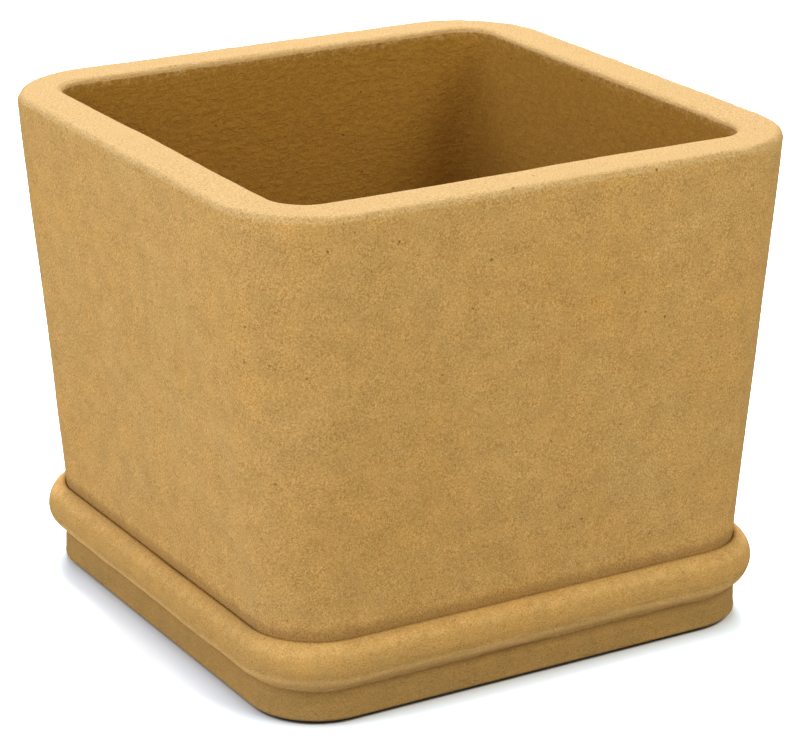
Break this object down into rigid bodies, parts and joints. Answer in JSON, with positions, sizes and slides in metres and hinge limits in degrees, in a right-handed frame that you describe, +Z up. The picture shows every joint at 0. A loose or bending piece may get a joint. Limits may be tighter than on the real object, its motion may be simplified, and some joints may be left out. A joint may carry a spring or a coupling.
{
  "type": "square plant pot",
  "caption": "Tapered square plant pot of thick unglazed clay, standing in a close-fitting saucer with a rolled rim.",
  "frame": {"origin": "on the ground, under the middle of the saucer", "axes": "+Z up through the middle of the pot; X and Y square to its sides, with -Y the front"},
  "size_m": [0.15, 0.15, 0.1249],
  "materials": {
    "clay": "unglazed, matt, fine grained",
    "pad_rubber": "matt"
  },
  "bodies": {
    "saucer": {"saucer": "clay", "pad_front_left": "pad_rubber", "pad_front_right": "pad_rubber", "pad_back_left": "pad_rubber", "pad_back_right": "pad_rubber"},
    "pot": {"pot": "clay"}
  },
  "joints": [
    {"name": "pot_lift", "type": "slide", "parent": "saucer", "child": "pot", "axis": [0, 0, 1], "range_m": [0, 0.06]}
  ]
}
